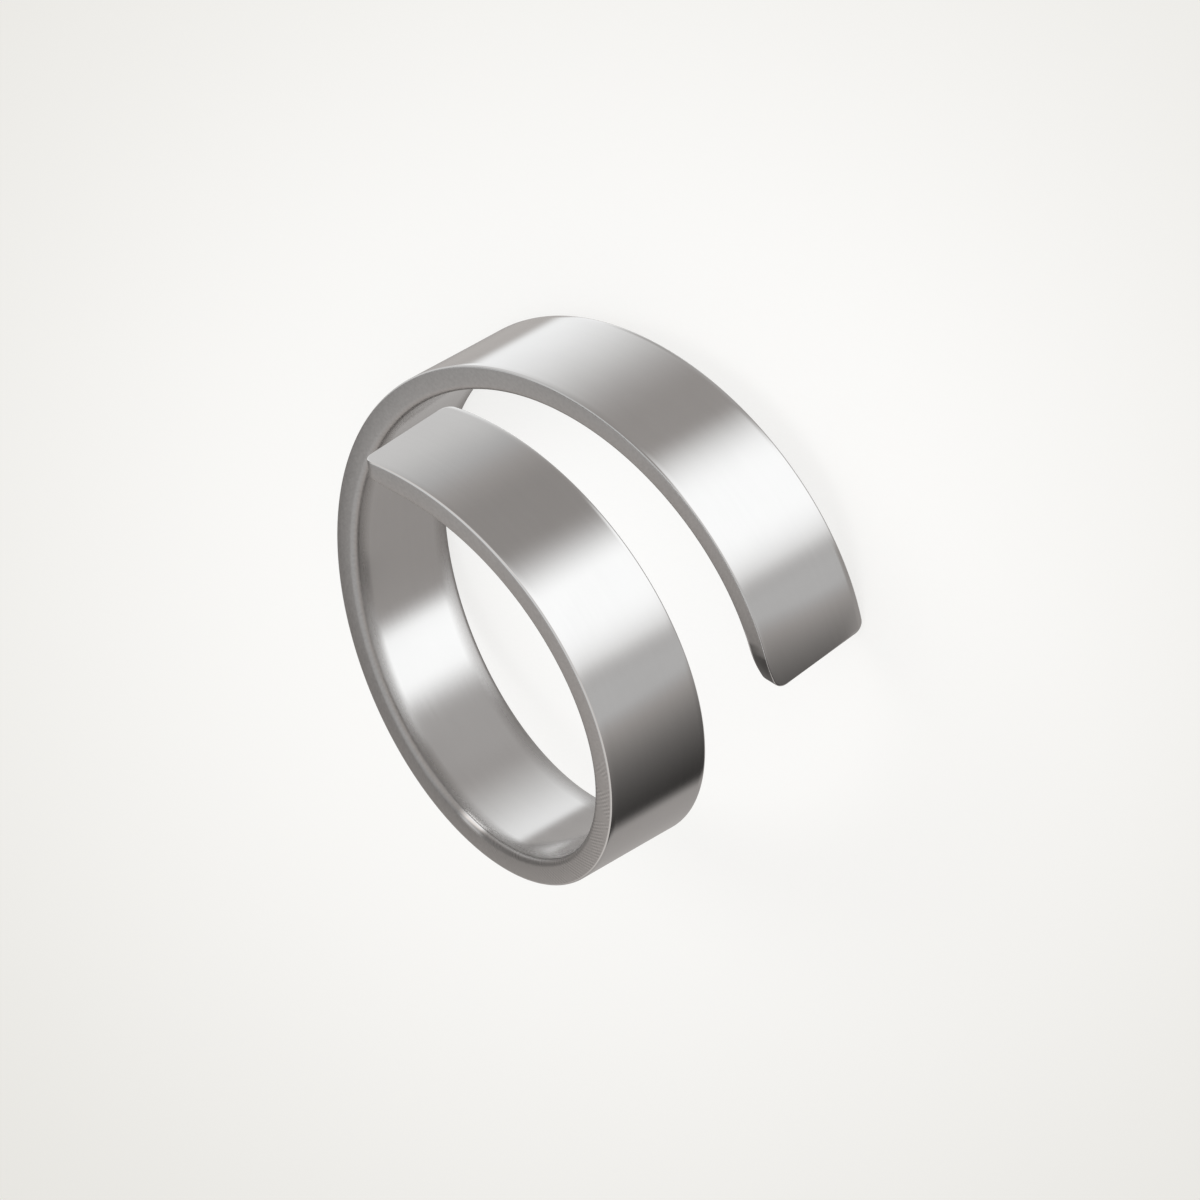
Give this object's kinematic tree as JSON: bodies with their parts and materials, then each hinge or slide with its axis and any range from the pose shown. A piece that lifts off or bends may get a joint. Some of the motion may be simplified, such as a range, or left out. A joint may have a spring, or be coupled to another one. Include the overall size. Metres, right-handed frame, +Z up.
{
  "type": "spiral ring",
  "caption": "Spiral finger ring: a flat polished metal band coiled into an open helix round the finger, its free ends overlapping with a gap between them.",
  "frame": {"origin": "on the table, under the middle of the ring's box as it lies on its far rim", "axes": "+Z up from the table; the coil's own axis leans 14.0 degrees from +Z, towards +Y; the overlap of the two ends faces -Y"},
  "size_m": [0.0196, 0.0212, 0.0137],
  "materials": {
    "polished_steel": "polished, neutral silver grey, with finely brushed rims"
  },
  "bodies": {
    "root": {"spiral_band": "polished_steel"}
  },
  "joints": []
}
